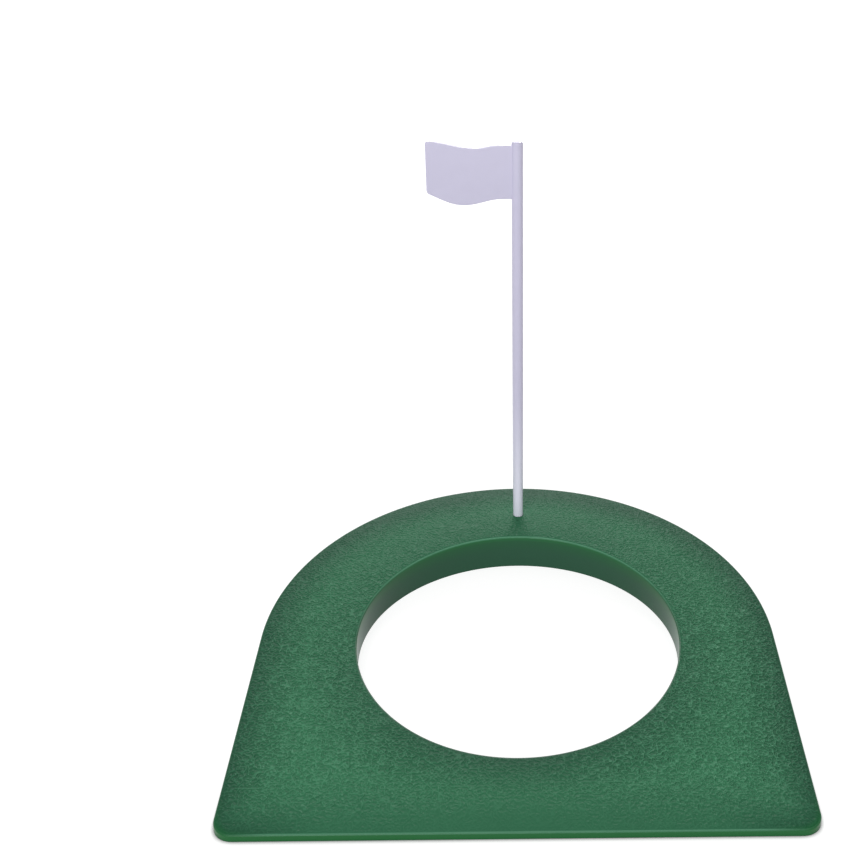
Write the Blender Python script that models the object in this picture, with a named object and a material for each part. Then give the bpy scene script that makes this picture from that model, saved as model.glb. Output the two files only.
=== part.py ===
"""Putting cup: a one-piece moulded ramp round a golf hole, and a plug-in flagstick.

Metres, +Z up. The ramp stands on z = 0, its low front edge faces -Y and its half-round
back faces +Y. The origin is the middle of the ramp's footprint.
"""

import math

import bmesh
import bpy
from mathutils import Matrix

# Ramp outline, seen from above
HOLE_DIAMETER = 0.1080  # a regulation golf hole
RING_WIDTH = 0.0324  # hole rim to outer wall, at the sides and the back
FRONT_WIDTH = 0.0280  # hole rim to front edge
CORNER_RADIUS = 0.0060  # the two front corners

# Ramp section, seen from the side
FRONT_HEIGHT = 0.0022  # the lip that the ball rolls over
BACK_HEIGHT = 0.01525
DRAFT = math.radians(1.5)  # lean of the moulded walls
EDGE_RADIUS = 0.0008  # round on the outer top edge
RIM_RADIUS = 0.0012  # round on the edge of the hole

# Hollow underside
SKIN = 0.0020  # thickness of the sloping top
WALL = 0.0020  # outer wall and ring wall, at the floor
LEAST_HOLLOW = 0.0010  # the lip is solid where the hollow would be shallower
RIB_COUNT = 8
RIB_THICKNESS = 0.0014
RIB_LIFT = 0.0006  # ribs and boss stop short of the floor, so that the walls carry the ramp

# Flag socket
SOCKET_SETBACK = 0.01445  # hole rim to the axis of the flagstick
SOCKET_FLOOR = 0.0024  # height of the closed bottom of the socket
BOSS_WALL = 0.0020
SOCKET_CLEARANCE = 0.00015  # radial, round the peg at the mouth of the socket
SEAT_GAP = 0.0003  # below the end of the peg

# Flagstick
STICK_TOP = 0.1581  # above the floor
POLE_DIAMETER = 0.0038
PEG_DIAMETER = 0.0036  # at the lower end
TAPER_LENGTH = 0.0400  # over which the pole narrows to the peg
PEG_CHAMFER = 0.0004
POLE_ROUND = 0.0008  # round on the top of the pole

# Flag panel: heights are below the top of the pole, reaches are from the axis of the pole
FLAG_REACH = 0.0305
FLAG_THICKNESS = 0.0016
FLAG_EDGE_ROUND = 0.0003
FLAG_CORNER_ROUND = 0.0010
TOP_CREST_REACH = 0.0060
TOP_CREST_DROP = 0.0013
TOP_TROUGH_REACH = 0.0142
TOP_TROUGH_DROP = 0.0023
TOP_END_DROP = 0.0000
LOW_CREST_REACH = 0.0050
LOW_CREST_DROP = 0.0194
LOW_TROUGH_REACH = 0.0180
LOW_TROUGH_DROP = 0.0216
LOW_RISE_REACH = 0.0370  # the next crest lies beyond the free end
LOW_RISE_DROP = 0.0160

# Smoothness of the curves
ARC_STEPS = 72  # half circle at the back
CORNER_STEPS = 6
HOLE_STEPS = 120
ROUND_STEPS = 4
POLE_STEPS = 24
WAVE_STEPS = 24
CUT_MARGIN = 0.0020  # how far a cutter reaches past the face that it cuts
WELD = 0.000001

# Sizes that follow from the ones above
HOLE_RADIUS = HOLE_DIAMETER / 2
FOOT_RADIUS = HOLE_RADIUS + RING_WIDTH
FRONT_REACH = HOLE_RADIUS + FRONT_WIDTH
DEPTH = FRONT_REACH + FOOT_RADIUS
FRONT_Y = -DEPTH / 2
HOLE_Y = FRONT_Y + FRONT_REACH
SLOPE = (BACK_HEIGHT - FRONT_HEIGHT) / DEPTH
NOSE_LENGTH = max(WALL, (SKIN + LEAST_HOLLOW - FRONT_HEIGHT) / SLOPE)
STICK_Y = HOLE_Y + HOLE_RADIUS + SOCKET_SETBACK
PEG_END = SOCKET_FLOOR + SEAT_GAP
STICK_LENGTH = STICK_TOP - PEG_END


def top_height(y):
    """Height of the sloping top above the floor."""
    return FRONT_HEIGHT + SLOPE * (y - FRONT_Y)


def pole_radius(length):
    """Radius of the pole at a length above the end of the peg."""
    share = min(length / TAPER_LENGTH, 1.0)
    return (PEG_DIAMETER + share * (POLE_DIAMETER - PEG_DIAMETER)) / 2


SOCKET_RADIUS = pole_radius(top_height(STICK_Y) - PEG_END) + SOCKET_CLEARANCE
BOSS_RADIUS = SOCKET_RADIUS + BOSS_WALL


def clear_scene():
    for obj in list(bpy.data.objects):
        bpy.data.objects.remove(obj, do_unlink=True)


def plastic(name, colour, roughness):
    """A plain moulded plastic."""
    material = bpy.data.materials.new(name)
    material.use_nodes = True
    shader = material.node_tree.nodes["Principled BSDF"]
    shader.inputs["Base Color"].default_value = (*colour, 1.0)
    shader.inputs["Roughness"].default_value = roughness
    shader.inputs["Metallic"].default_value = 0.0
    return material


def new_object(name, bm, material=None):
    """Turn a finished bmesh into an object with its faces looking outward."""
    bmesh.ops.recalc_face_normals(bm, faces=bm.faces)
    for face in bm.faces:
        face.smooth = True
    mesh = bpy.data.meshes.new(name)
    bm.to_mesh(mesh)
    bm.free()
    if material:
        mesh.materials.append(material)
    obj = bpy.data.objects.new(name, mesh)
    bpy.context.scene.collection.objects.link(obj)
    return obj


def as_cutter(obj):
    """Keep a helper in the file without making it a piece of the product."""
    obj.hide_render = True
    obj.display_type = "WIRE"
    return obj


def combine(obj, other, operation):
    modifier = obj.modifiers.new(f"{operation.lower()} {other.name}", "BOOLEAN")
    modifier.operation = operation
    modifier.solver = "EXACT"
    modifier.object = other


def even_shading(obj):
    """Large flat faces stay flat to the eye beside their rounded edges."""
    modifier = obj.modifiers.new("even shading", "WEIGHTED_NORMAL")
    modifier.mode = "FACE_AREA"


def ring_edges(bm, ring):
    pairs = zip(ring, ring[1:] + ring[:1])
    return [bm.edges.get(pair) or bm.edges.new(pair) for pair in pairs]


def add_ring(bm, points):
    return [bm.verts.new(point) for point in points]


def join_rings(bm, rings):
    """Quads between each ring of vertices and the next."""
    for low, high in zip(rings, rings[1:]):
        for i in range(len(low)):
            bm.faces.new((low[i - 1], low[i], high[i], high[i - 1]))


def fill_between(bm, *rings):
    """A flat face inside the first ring, less the area of any other ring."""
    edges = [edge for ring in rings for edge in ring_edges(bm, ring)]
    bmesh.ops.triangle_fill(bm, edges=edges, use_beauty=True, normal=(0, 0, 1))


def arc(centre_x, centre_y, radius, start, end, steps):
    """Points of an arc, each with its outward direction."""
    found = []
    for i in range(steps + 1):
        angle = start + (end - start) * i / steps
        across, along = math.cos(angle), math.sin(angle)
        found.append((centre_x + radius * across, centre_y + radius * along, across, along))
    return found


def d_outline(radius, front_y, corner):
    """A half circle round the hole, parallel sides and a straight front with round corners."""
    side = radius - corner
    low = front_y + corner
    right, back, left, front = 0.0, math.pi / 2, math.pi, 3 * math.pi / 2
    return (
        arc(0.0, HOLE_Y, radius, right, left, ARC_STEPS)
        + arc(-side, low, corner, left, front, CORNER_STEPS)
        + arc(side, low, corner, front, front + back, CORNER_STEPS)
    )


def circle(radius):
    return arc(0.0, HOLE_Y, radius, 0.0, 2 * math.pi, HOLE_STEPS)[:-1]


def moved_in(outline, inset_of):
    """Outline points shifted inward, each by its own inset."""
    shifted = []
    for x, y, across, along in outline:
        inset = inset_of(y)
        shifted.append((x - inset * across, y - inset * along))
    return shifted


def lean(height):
    """How far a drafted wall has moved sideways at a height above the floor."""
    return height * math.tan(DRAFT)


def ramp_body():
    """The ramp before hollowing: drafted wall, rounded top edge, sloping top and rounded hole."""
    bm = bmesh.new()
    outline = d_outline(FOOT_RADIUS, FRONT_Y, CORNER_RADIUS)
    wall = [add_ring(bm, [(x, y, 0.0) for x, y, _, _ in outline])]
    bore = [add_ring(bm, [(x, y, 0.0) for x, y, _, _ in circle(HOLE_RADIUS)])]
    for i in range(ROUND_STEPS + 1):
        turn = math.pi / 2 * i / ROUND_STEPS
        drop = EDGE_RADIUS * (1 - math.sin(turn))
        inward = EDGE_RADIUS * (1 - math.cos(turn))
        edge = moved_in(outline, lambda y: lean(top_height(y) - EDGE_RADIUS) + inward)
        wall.append(add_ring(bm, [(x, y, top_height(y) - drop) for x, y in edge]))
        drop = RIM_RADIUS * (1 - math.sin(turn))
        rim = circle(HOLE_RADIUS + RIM_RADIUS * (1 - math.cos(turn)))
        bore.append(add_ring(bm, [(x, y, top_height(y) - drop) for x, y, _, _ in rim]))
    join_rings(bm, wall)
    join_rings(bm, bore)
    fill_between(bm, wall[-1], bore[-1])
    fill_between(bm, wall[0], bore[0])
    return bm


def hollow_block():
    """The whole space under the top skin, inside the outer wall and behind the solid lip."""
    bm = bmesh.new()
    corner = max(CORNER_RADIUS - WALL, WALL)
    outline = d_outline(FOOT_RADIUS - WALL, FRONT_Y + NOSE_LENGTH, corner)
    low = [(x, y, -CUT_MARGIN) for x, y, _, _ in outline]
    roof = moved_in(outline, lambda y: lean(top_height(y) - SKIN))
    rings = [add_ring(bm, low), add_ring(bm, [(x, y, top_height(y) - SKIN) for x, y in roof])]
    join_rings(bm, rings)
    fill_between(bm, rings[0])
    fill_between(bm, rings[1])
    return bm


def upright(radius_low, radius_high, low, high, steps):
    """A round post on the Z axis between two heights."""
    bm = bmesh.new()
    bmesh.ops.create_cone(
        bm,
        cap_ends=True,
        segments=steps,
        radius1=radius_low,
        radius2=radius_high,
        depth=high - low,
    )
    bmesh.ops.translate(bm, verts=bm.verts, vec=(0, 0, (high + low) / 2))
    return bm


def rib_slabs():
    """One upright slab for each rib, from the hole outward, the first one towards the socket."""
    bm = bmesh.new()
    reach = FRONT_REACH + FOOT_RADIUS
    tall = BACK_HEIGHT + CUT_MARGIN - RIB_LIFT
    for i in range(RIB_COUNT):
        angle = math.pi / 2 + 2 * math.pi * i / RIB_COUNT
        slab = bmesh.ops.create_cube(bm, size=1.0)["verts"]
        bmesh.ops.scale(bm, verts=slab, vec=(reach - HOLE_RADIUS, RIB_THICKNESS, tall))
        middle = ((reach + HOLE_RADIUS) / 2, 0, RIB_LIFT + tall / 2)
        bmesh.ops.translate(bm, verts=slab, vec=middle)
        turn = Matrix.Rotation(angle, 3, "Z")
        bmesh.ops.rotate(bm, verts=slab, cent=(0, 0, 0), matrix=turn)
    return bm


def make_ramp():
    green = plastic("green moulded plastic", (0.055, 0.155, 0.092), 0.45)
    ramp = new_object("ramp_base", ramp_body(), green)
    hollow = as_cutter(new_object("underside_hollow", hollow_block()))
    roof = BACK_HEIGHT + CUT_MARGIN
    ring_low = HOLE_RADIUS + WALL - lean(CUT_MARGIN + CUT_MARGIN)
    ring_high = HOLE_RADIUS + WALL + lean(roof)
    ring = upright(ring_low, ring_high, -CUT_MARGIN - CUT_MARGIN, roof, HOLE_STEPS)
    ring_core = as_cutter(new_object("ring_wall_core", ring))
    ring_core.location = (0, HOLE_Y, 0)
    ribs = as_cutter(new_object("rib_slabs", rib_slabs()))
    ribs.location = (0, HOLE_Y, 0)
    boss = upright(BOSS_RADIUS, BOSS_RADIUS + lean(roof), RIB_LIFT, roof, POLE_STEPS)
    boss_core = as_cutter(new_object("socket_boss_core", boss))
    boss_core.location = (0, STICK_Y, 0)
    socket = upright(SOCKET_RADIUS, SOCKET_RADIUS, SOCKET_FLOOR, roof, POLE_STEPS)
    socket_bore = as_cutter(new_object("socket_bore", socket))
    socket_bore.location = (0, STICK_Y, 0)
    for core in (ring_core, ribs, boss_core):
        combine(hollow, core, "DIFFERENCE")
    combine(ramp, hollow, "DIFFERENCE")
    combine(ramp, socket_bore, "DIFFERENCE")
    even_shading(ramp)
    return ramp


def pole_body():
    """The pole as a turned profile: chamfered peg, long taper, straight pole and rounded top."""
    profile = [(0.0, 0.0), (PEG_DIAMETER / 2 - PEG_CHAMFER, 0.0)]
    profile.append((pole_radius(PEG_CHAMFER), PEG_CHAMFER))
    profile.append((pole_radius(TAPER_LENGTH), TAPER_LENGTH))
    crown = pole_radius(STICK_LENGTH) - POLE_ROUND
    for i in range(ROUND_STEPS + 1):
        turn = math.pi / 2 * i / ROUND_STEPS
        rise = STICK_LENGTH - POLE_ROUND * (1 - math.sin(turn))
        profile.append((crown + POLE_ROUND * math.cos(turn), rise))
    profile.append((0.0, STICK_LENGTH))
    bm = bmesh.new()
    points = [bm.verts.new((out, 0.0, up)) for out, up in profile]
    edges = [bm.edges.new(pair) for pair in zip(points, points[1:])]
    bmesh.ops.spin(
        bm,
        geom=points + edges,
        cent=(0, 0, 0),
        axis=(0, 0, 1),
        angle=2 * math.pi,
        steps=POLE_STEPS,
    )
    bmesh.ops.remove_doubles(bm, verts=bm.verts, dist=WELD)
    return bm


def eased(reach, stations):
    """Height of a wavy edge that swings smoothly from each crest or trough to the next."""
    start = stations[0]
    for end in stations[1:]:
        if reach <= end[0]:
            break
        start = end
    share = min(max((reach - start[0]) / max(end[0] - start[0], WELD), 0.0), 1.0)
    swing = (1 - math.cos(math.pi * share)) / 2
    return start[1] + swing * (end[1] - start[1])


def flag_panel():
    """The flat flag: wavy upper and lower edges from inside the pole to an upright free end."""
    upper = [
        (TOP_CREST_REACH, -TOP_CREST_DROP),
        (TOP_TROUGH_REACH, -TOP_TROUGH_DROP),
        (FLAG_REACH, -TOP_END_DROP),
    ]
    lower = [
        (LOW_CREST_REACH, -LOW_CREST_DROP),
        (LOW_TROUGH_REACH, -LOW_TROUGH_DROP),
        (LOW_RISE_REACH, -LOW_RISE_DROP),
    ]
    reaches = [FLAG_REACH * i / WAVE_STEPS for i in range(WAVE_STEPS + 1)]
    near = -FLAG_THICKNESS / 2
    bm = bmesh.new()
    top = [bm.verts.new((-r, near, STICK_LENGTH + eased(r, upper))) for r in reaches]
    low = [bm.verts.new((-r, near, STICK_LENGTH + eased(r, lower))) for r in reaches]
    bm.faces.new(top + low[::-1])
    bmesh.ops.bevel(
        bm,
        geom=[top[-1], low[-1]],
        offset=FLAG_CORNER_ROUND,
        segments=ROUND_STEPS,
        profile=0.5,
        affect="VERTICES",
    )
    made = bmesh.ops.extrude_face_region(bm, geom=bm.faces[:])["geom"]
    far = [item for item in made if isinstance(item, bmesh.types.BMVert)]
    bmesh.ops.translate(bm, verts=far, vec=(0, FLAG_THICKNESS, 0))
    return bm


def make_flagstick():
    white = plastic("white moulded plastic", (0.72, 0.71, 0.78), 0.4)
    stick = new_object("flagstick", pole_body(), white)
    stick.location = (0, STICK_Y, PEG_END)
    panel = as_cutter(new_object("flag_panel", flag_panel()))
    panel.location = stick.location
    edge = panel.modifiers.new("edge round", "BEVEL")
    edge.width = FLAG_EDGE_ROUND
    edge.segments = ROUND_STEPS
    edge.limit_method = "ANGLE"
    edge.angle_limit = math.radians(60)
    combine(stick, panel, "UNION")
    even_shading(stick)
    return stick


clear_scene()
make_ramp()
make_flagstick()
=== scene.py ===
# %% [markdown]
# # A putting cup in two mouldings
# The object is a green ramp with a golf hole through it and a white flagstick that plugs into
# a small socket behind the hole. Both are injection-moulded plastic, so their faces are smooth
# sheets with small rounds where they meet. The CAD solids have the same sizes and stay hidden;
# this file draws the same two mouldings again as fine numpy surfaces, with the rounds, the grain
# and the finish that the eye looks for.

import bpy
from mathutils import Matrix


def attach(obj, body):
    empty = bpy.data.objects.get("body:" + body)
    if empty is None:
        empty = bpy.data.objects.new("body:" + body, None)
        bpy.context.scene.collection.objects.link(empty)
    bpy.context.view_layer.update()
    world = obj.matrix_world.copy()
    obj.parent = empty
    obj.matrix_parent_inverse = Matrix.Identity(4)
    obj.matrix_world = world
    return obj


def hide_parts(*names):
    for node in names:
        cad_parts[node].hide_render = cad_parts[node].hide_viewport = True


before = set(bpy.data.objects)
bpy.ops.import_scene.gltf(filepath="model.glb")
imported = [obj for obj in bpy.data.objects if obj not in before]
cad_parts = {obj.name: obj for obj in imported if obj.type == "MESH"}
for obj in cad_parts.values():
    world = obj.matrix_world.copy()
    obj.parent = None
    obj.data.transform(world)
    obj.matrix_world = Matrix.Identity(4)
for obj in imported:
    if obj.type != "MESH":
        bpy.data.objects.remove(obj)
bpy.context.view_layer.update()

import bpy
import numpy as np
from mathutils import Matrix

MM = 0.001
scene = bpy.context.scene
scene.view_settings.view_transform = "Standard"

# %% [markdown]
# ## Camera
# The hole is a true circle of 108 mm and the ramp's sides are parallel, so the camera can be
# worked out from how they are foreshortened. It stands a little over 400 mm away and looks down
# at about 27 degrees, and the frame is cut from the left of a wider view. That last part is a
# lens shift: the optical axis meets the picture right of its middle.

# %% Camera at the place that the hole's ellipse gives
IMAGE_SIDE = 848
FOCAL_PIXELS = 1231.2
AXIS_PIXEL_X = 546.2
CAMERA_PLACE = np.array([-0.34, -337.09, 263.07]) * MM
YAW, PITCH, ROLL = np.radians([-1.535, 27.501, -0.569])
SENSOR = 36.0
CLIP_NEAR, CLIP_FAR = 0.01, 20.0


def camera_axes(yaw, pitch, roll):
    """Right, up and backward directions: pitch tips the view down, yaw turns it about the
    vertical, and roll then turns right and up about the line of sight."""
    turn = np.array([[np.cos(yaw), -np.sin(yaw), 0], [np.sin(yaw), np.cos(yaw), 0], [0, 0, 1]])
    right = turn @ np.array([1.0, 0.0, 0.0])
    ahead = turn @ np.array([0.0, np.cos(pitch), -np.sin(pitch)])
    up = np.cross(right, ahead)
    rolled_right = np.cos(roll) * right - np.sin(roll) * up
    rolled_up = np.sin(roll) * right + np.cos(roll) * up
    return np.stack([rolled_right, rolled_up, -ahead], axis=1)


def put_in_studio(name, data, axes, place):
    """Link a camera or a lamp whose right, up and backward directions are the columns of axes."""
    placed = np.eye(4)
    placed[:3, :3] = axes
    placed[:3, 3] = place
    made = bpy.data.objects.new(name, data)
    made.matrix_world = Matrix(placed.tolist())
    scene.collection.objects.link(made)
    return made


lens = bpy.data.cameras.new("camera")
lens.sensor_width = SENSOR
lens.lens = FOCAL_PIXELS / IMAGE_SIDE * SENSOR
lens.shift_x = 0.5 - AXIS_PIXEL_X / IMAGE_SIDE
lens.clip_start, lens.clip_end = CLIP_NEAR, CLIP_FAR
scene.camera = put_in_studio("camera", lens, camera_axes(YAW, PITCH, ROLL), CAMERA_PLACE)
print(f"lens {lens.lens:.1f} mm, shift {lens.shift_x:.3f}")

# %% [markdown]
# ## Floor, world and lamps
# The object lies on a white sweep that is exposed until it is pure white, with only a breath of
# shadow left. Brightening the lamps would bleach the green as well, so the floor does it alone:
# rays that come from the camera or off a glossy face see a floor with some glow of its own,
# and all other rays see plain white paint. The glow leaves room for a little diffuse paint, so
# the shadow under the lip still shows. It dims within 2.4 mm of whatever stands on the floor, which
# is the last of the contact shadow, but stays up inside the hole, where the sheet is white as far
# as the wall. Far off it rises to full white, so that no horizon shows.

# %% Three helpers for every material
def linear(hex_colour):
    """An sRGB hex colour as linear red, green, blue and alpha."""
    value = np.array([int(hex_colour[i : i + 2], 16) for i in (1, 3, 5)]) / 255
    flat = np.where(value <= 0.04045, value / 12.92, ((value + 0.055) / 1.055) ** 2.4)
    return (*flat.tolist(), 1.0)


def add_node(tree, kind, inputs=None, **settings):
    """Add one shader node. Settings are the node's own properties. Inputs gives each socket a
    constant, an output to be linked to it, or a node whose first enabled output is linked."""
    made = tree.nodes.new(kind)
    for name, value in settings.items():
        setattr(made, name, value)
    for socket, value in (inputs or {}).items():
        if isinstance(value, bpy.types.Node):
            value = next(output for output in value.outputs if output.enabled)
        if isinstance(value, bpy.types.NodeSocket):
            tree.links.new(value, made.inputs[socket])
        else:
            made.inputs[socket].default_value = value
    return made


def new_material(name):
    """A node material without nodes, and its tree."""
    material = bpy.data.materials.new(name)
    material.use_nodes = True
    material.node_tree.nodes.clear()
    return material, material.node_tree


# %% White paper that keeps its shadow
# the share of light that the paint gives back, to most rays and to those that see the glow
PAINT, PAINT_SEEN = (0.80, 0.80, 0.80, 1), (0.36, 0.36, 0.36, 1)
CONTACT_GLOW, FLOOR_GLOW, FAR_GLOW = 0.10, 0.80, 1.0
CONTACT, CONTACT_SAMPLES = 2.4 * MM, 16
# the share of open sky over the floor at which the glow is lowest and at which it is full
SKY_COVERED, SKY_OPEN = 0.50, 0.82
SWEEP_START, SWEEP_END = 0.25, 1.0
SMOOTH = "SMOOTHSTEP"
HOLE_Y = -2.2 * MM
HOLE_RADIUS = 54.0 * MM
HOLE_MARGIN = 1.0 * MM


def clear_view_ray(tree):
    """One for rays from the camera, off gloss or through glass, and zero for all others."""
    path = add_node(tree, "ShaderNodeLightPath").outputs
    camera_or_gloss = {0: path["Is Camera Ray"], 1: path["Is Glossy Ray"]}
    seen = add_node(tree, "ShaderNodeMath", camera_or_gloss, operation="MAXIMUM")
    return add_node(tree, "ShaderNodeMath", {0: seen, 1: path["Is Transmission Ray"]}, operation="MAXIMUM")


sweep, tree = new_material("white_paper_sweep")
plain = add_node(tree, "ShaderNodeBsdfDiffuse", {"Color": PAINT})
paint = add_node(tree, "ShaderNodeBsdfDiffuse", {"Color": PAINT_SEEN})
contact = add_node(tree, "ShaderNodeAmbientOcclusion", {"Distance": CONTACT}, samples=CONTACT_SAMPLES)
on_floor = add_node(tree, "ShaderNodeTexCoord").outputs["Object"]
from_hole = add_node(tree, "ShaderNodeVectorMath", {0: on_floor, 1: (0, HOLE_Y, 0)}, operation="DISTANCE")
hole_edge = HOLE_RADIUS + HOLE_MARGIN
in_hole = add_node(tree, "ShaderNodeMath", {0: from_hole, 1: hole_edge}, operation="LESS_THAN")
open_sky = add_node(tree, "ShaderNodeMath", {0: contact.outputs["AO"], 1: in_hole}, operation="MAXIMUM")
away = add_node(tree, "ShaderNodeVectorMath", {0: on_floor}, operation="LENGTH")
swept = add_node(
    tree,
    "ShaderNodeMapRange",
    {
        "Value": away,
        "From Min": SWEEP_START,
        "From Max": SWEEP_END,
        "To Min": FLOOR_GLOW,
        "To Max": FAR_GLOW,
    },
    interpolation_type=SMOOTH,
)
lit = add_node(
    tree,
    "ShaderNodeMapRange",
    {
        "Value": open_sky,
        "From Min": SKY_COVERED,
        "From Max": SKY_OPEN,
        "To Min": CONTACT_GLOW,
        "To Max": swept,
    },
)
glow = add_node(tree, "ShaderNodeEmission", {"Color": (1, 1, 1, 1), "Strength": lit})
seen = add_node(tree, "ShaderNodeAddShader", {0: paint, 1: glow})
both = add_node(tree, "ShaderNodeMixShader", {0: clear_view_ray(tree), 1: plain, 2: seen})
add_node(tree, "ShaderNodeOutputMaterial", {"Surface": both})
print("white paper:", len(tree.nodes), "nodes")

# %% Lay the floor
FLOOR_HALF = 3.0

floor_mesh = bpy.data.meshes.new("floor")
floor_corners = np.array([[-1, -1, 0], [1, -1, 0], [1, 1, 0], [-1, 1, 0]]) * FLOOR_HALF
floor_mesh.from_pydata(floor_corners.tolist(), [], [(0, 1, 2, 3)])
floor_mesh.materials.append(sweep)
floor = bpy.data.objects.new("floor", floor_mesh)
scene.collection.objects.link(floor)
print("floor", floor.dimensions[:])

# %% World that lights dimly and looks white
WORLD_LIGHT = 0.32

world = bpy.data.worlds.new("studio")
world.use_nodes = True
tree = world.node_tree
tree.nodes.clear()
dim = add_node(tree, "ShaderNodeBackground", {"Color": (1, 1, 1, 1), "Strength": WORLD_LIGHT})
white = add_node(tree, "ShaderNodeBackground", {"Color": (1, 1, 1, 1), "Strength": 1.0})
mixed = add_node(tree, "ShaderNodeMixShader", {0: clear_view_ray(tree), 1: dim, 2: white})
add_node(tree, "ShaderNodeOutputWorld", {"Surface": mixed})
scene.world = world
print("world light", WORLD_LIGHT)

# %% Soft boxes
# name: place in metres, width, height, watts
SOFT_BOXES = {
    "back_box": ((0.0, 1.27, 0.82), 1.0, 0.35, 12.2),
    "overhead_box": ((0.25, 0.35, 1.48), 1.0, 1.0, 2.2),
    "front_box": ((-0.38, -1.43, 0.80), 1.0, 1.0, 14.0),
}
AIM = np.array([0.0, 0.0, 0.02])
# a lamp is steep where its direction, of length one, rises by more than this
STEEP = 0.95


def lamp_axes(place):
    """Right, up and backward directions of a lamp that faces the aim: backward runs from the aim
    to the lamp, and right is square to it and to the vertical, or to y where the lamp is steep."""
    backward = np.array(place) - AIM
    backward /= np.linalg.norm(backward)
    right = np.cross([0.0, 1.0, 0.0] if abs(backward[2]) > STEEP else [0.0, 0.0, 1.0], backward)
    right /= np.linalg.norm(right)
    return np.stack([right, np.cross(backward, right), backward], axis=1)


for name, (place, width, height, watts) in SOFT_BOXES.items():
    lamp = bpy.data.lights.new(name, "AREA")
    lamp.shape, lamp.size, lamp.size_y, lamp.energy = "RECTANGLE", width, height, watts
    put_in_studio(name, lamp, lamp_axes(place), place)
    print(name, "at", place, watts, "W")

# %% [markdown]
# ## Outline of the ramp
# Seen from above the ramp is a D: a half circle round the hole, two parallel sides and a
# straight front with small corners. Every ray from the hole's axis meets that outline once, so
# the outline can be written as a distance for each angle. The rays become the columns of one
# grid, closer together at the corners, where the outline turns fastest.

# %% Distance from the hole's axis to the outline
FOOT_RADIUS = 86.4 * MM
FRONT_REACH = 82.0 * MM
CORNER_RADIUS = 6.0 * MM
FRONT_Y = HOLE_Y - FRONT_REACH
TINY = 1e-9


def outline_reach(angle, half_width, front, corner):
    """Distance from the hole's axis to a D outline at each angle.

    Behind the axis it is the radius of the half circle. Ahead of it, it is the nearer of the
    side line and the front line; a ray through a corner square goes on to the far crossing
    with the corner's circle, which is its nearest approach plus half the chord."""
    across, ahead = np.abs(np.cos(angle)), -np.sin(angle)
    side = half_width / np.maximum(across, TINY)
    straight = front / np.maximum(ahead, TINY)
    reach = np.where(ahead > 0, np.minimum(side, straight), half_width)
    middle_x, middle_y = half_width - corner, front - corner
    nearest = middle_x * across + middle_y * ahead
    half_chord_squared = corner**2 - (middle_x**2 + middle_y**2 - nearest**2)
    curved = nearest + np.sqrt(np.maximum(half_chord_squared, 0))
    in_corner = (half_chord_squared > 0) & (curved * across > middle_x) & (curved * ahead > middle_y)
    return np.where(in_corner, curved, reach)


# %% Rays of the grid
BACK_STEPS, SIDE_STEPS, CORNER_STEPS, FRONT_STEPS = 216, 44, 20, 96
STRAIGHT_BACK = BACK_STEPS // 2

low = FRONT_REACH - CORNER_RADIUS
side = FOOT_RADIUS - CORNER_RADIUS
turn = np.linspace(0, np.pi / 2, CORNER_STEPS + 1)[1:]
round_x, round_y = side + CORNER_RADIUS * np.cos(turn), low + CORNER_RADIUS * np.sin(turn)
down = np.linspace(0, low, SIDE_STEPS + 1)[1:]
left_x = -np.concatenate([np.full(SIDE_STEPS, FOOT_RADIUS), round_x])
left_y = -np.concatenate([down, round_y])
front_x = np.linspace(-side, side, FRONT_STEPS + 1)[1:-1]
walk_x = np.concatenate([left_x, front_x, -left_x[::-1]])
walk_y = np.concatenate([left_y, np.full(FRONT_STEPS - 1, -FRONT_REACH), left_y[::-1]])
back_angle = np.linspace(0, np.pi, BACK_STEPS + 1)
ray = np.concatenate([back_angle, np.arctan2(walk_y, walk_x) % (2 * np.pi)])
print(len(ray), "rays; widest step", round(float(np.degrees(np.diff(ray).max())), 2), "degrees")

# %% [markdown]
# ## Section of the ramp
# A cut along any ray is a closed loop: up the wall of the hole, round the rim, out along the
# sloping top, round the outer edge, down the drafted outer wall, in along the floor, up the inner
# face, back under the top skin, down the ring wall and in along its foot. Each stretch of that
# loop is a block of grid rows. The top isn't quite flat on the real one: it rolls off gently
# towards the hole and towards the outer edge, which is what shades the strip from its middle
# outwards, so the rows of the top carry a small crown.

# %% Heights of the top and of its crown
FRONT_HEIGHT = 2.2 * MM
BACK_HEIGHT = 15.25 * MM
SLOPE = (BACK_HEIGHT - FRONT_HEIGHT) / (FRONT_REACH + FOOT_RADIUS)
DRAFT = np.tan(np.radians(1.5))
RIM_ROUND = 0.45 * MM
EDGE_ROUND = 0.40 * MM
CROWN = 0.40 * MM
CROWN_ROLL = 10.0 * MM


def plane_height(y):
    """Height of the sloping plane: the lip's height plus the slope times the way back."""
    return FRONT_HEIGHT + SLOPE * (y - FRONT_Y)


def plane_along(reach, angle):
    """Height of the sloping plane at a reach along a ray, where y grows with the angle's sine."""
    return plane_height(HOLE_Y + reach * np.sin(angle))


def ramp_outline(angle, inset):
    """The ramp's own outline moved in by an inset."""
    return outline_reach(angle, FOOT_RADIUS - inset, FRONT_REACH - inset, CORNER_RADIUS - inset)


def rise(value, start, end):
    """Zero up to start, one from end on, and a straight line between them."""
    return np.clip((value - start) / (end - start), 0, 1)


def rolled(distance):
    """Zero at an edge, one from the roll's width inwards, on a parabola that ends level."""
    return 1 - (1 - rise(distance, 0, CROWN_ROLL)) ** 2


def top_height(reach, angle):
    """Height of the crowned top at a reach along a ray: the plane plus a crown that dies out
    at the rim of the hole and at the outer edge."""
    by_rim = rolled(reach - HOLE_RADIUS - RIM_ROUND)
    by_edge = rolled(ramp_outline(angle, EDGE_ROUND) - reach)
    return plane_along(reach, angle) + CROWN * by_rim * by_edge


print("slope of the top:", round(float(np.degrees(np.arctan(SLOPE))), 2), "degrees")

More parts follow.
